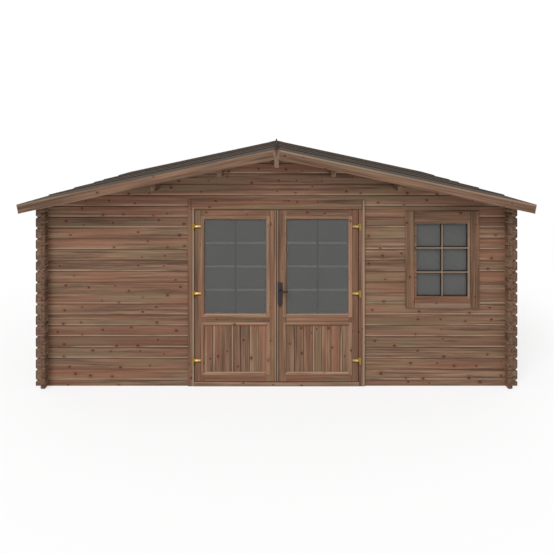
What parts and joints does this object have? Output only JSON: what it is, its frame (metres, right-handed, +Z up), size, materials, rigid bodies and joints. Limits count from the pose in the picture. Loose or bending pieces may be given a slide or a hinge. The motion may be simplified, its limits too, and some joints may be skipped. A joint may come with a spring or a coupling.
{
  "type": "log cabin",
  "caption": "Garden log cabin of interlocking chamfered logs with crossed corners, a shallow gable roof, a glazed double door that opens outward and a fixed window beside it.",
  "frame": {"origin": "on the ground under the middle of the roof's plan", "axes": "+Z up, the door faces -Y, +X to the right as one looks at the door"},
  "size_m": [5.172, 4.3, 2.5125],
  "materials": {
    "log_pine": "pressure-treated pine, matt, with horizontal grain and small dark knots",
    "joinery": "planed and treated pine, matt",
    "roof_and_floor_boards": "treated boards, matt",
    "roof_covering": "dark bitumen sheet with fine mineral grit",
    "glazing": "clear float",
    "glazing_bars": "matt bars between the panes",
    "hinge_brass": "yellow plated",
    "black_metal": "black, satin"
  },
  "bodies": {
    "cabin": {"floor_bearers": "roof_and_floor_boards", "floor_boards": "roof_and_floor_boards", "left_wall": "log_pine", "right_wall": "log_pine", "back_wall": "log_pine", "back_gable": "log_pine", "front_wall_left": "log_pine", "front_wall_right_lower": "log_pine", "front_wall_inner_pier": "log_pine", "front_wall_outer_pier": "log_pine", "front_wall_right_upper": "log_pine", "front_gable": "log_pine", "ridge_purlin": "roof_and_floor_boards", "inner_purlins": "roof_and_floor_boards", "outer_purlins": "roof_and_floor_boards", "roof_deck_left": "roof_and_floor_boards", "roof_deck_right": "roof_and_floor_boards", "roof_covering_left": "roof_covering", "roof_covering_right": "roof_covering", "ridge_cap": "roof_covering", "front_bargeboards": "joinery", "back_bargeboards": "joinery", "eaves_boards": "joinery", "door_frame": "joinery", "door_threshold": "joinery", "door_trim": "joinery", "left_frame_hinges": "hinge_brass", "right_frame_hinges": "hinge_brass", "window_frame": "joinery", "window_sash": "joinery", "window_glass": "glazing", "window_bars": "joinery", "window_trim_boards": "joinery"},
    "left_door": {"left_leaf": "joinery", "left_leaf_glass": "glazing", "left_leaf_bars": "glazing_bars", "left_leaf_panel": "joinery", "left_leaf_hinges": "hinge_brass"},
    "right_door": {"right_leaf": "joinery", "right_leaf_glass": "glazing", "right_leaf_bars": "glazing_bars", "right_leaf_panel": "joinery", "right_leaf_hinges": "hinge_brass", "handle_plates": "black_metal"},
    "lever": {"door_lever": "black_metal"}
  },
  "joints": [
    {"name": "left_door_hinge", "type": "hinge", "parent": "cabin", "child": "left_door", "pos_m": [-0.8505, -1.9215, 0.95], "axis": [0, 0, -1], "range_deg": [0, 110]},
    {"name": "right_door_hinge", "type": "hinge", "parent": "cabin", "child": "right_door", "pos_m": [0.8505, -1.9215, 0.95], "axis": [0, 0, 1], "range_deg": [0, 110]},
    {"name": "lever_turn", "type": "hinge", "parent": "right_door", "child": "lever", "pos_m": [0.0355, -1.895, 0.989], "axis": [0, 1, 0], "range_deg": [0, 40], "stiffness_Nm_per_rad": 1.2, "springref_deg": -34.38}
  ]
}
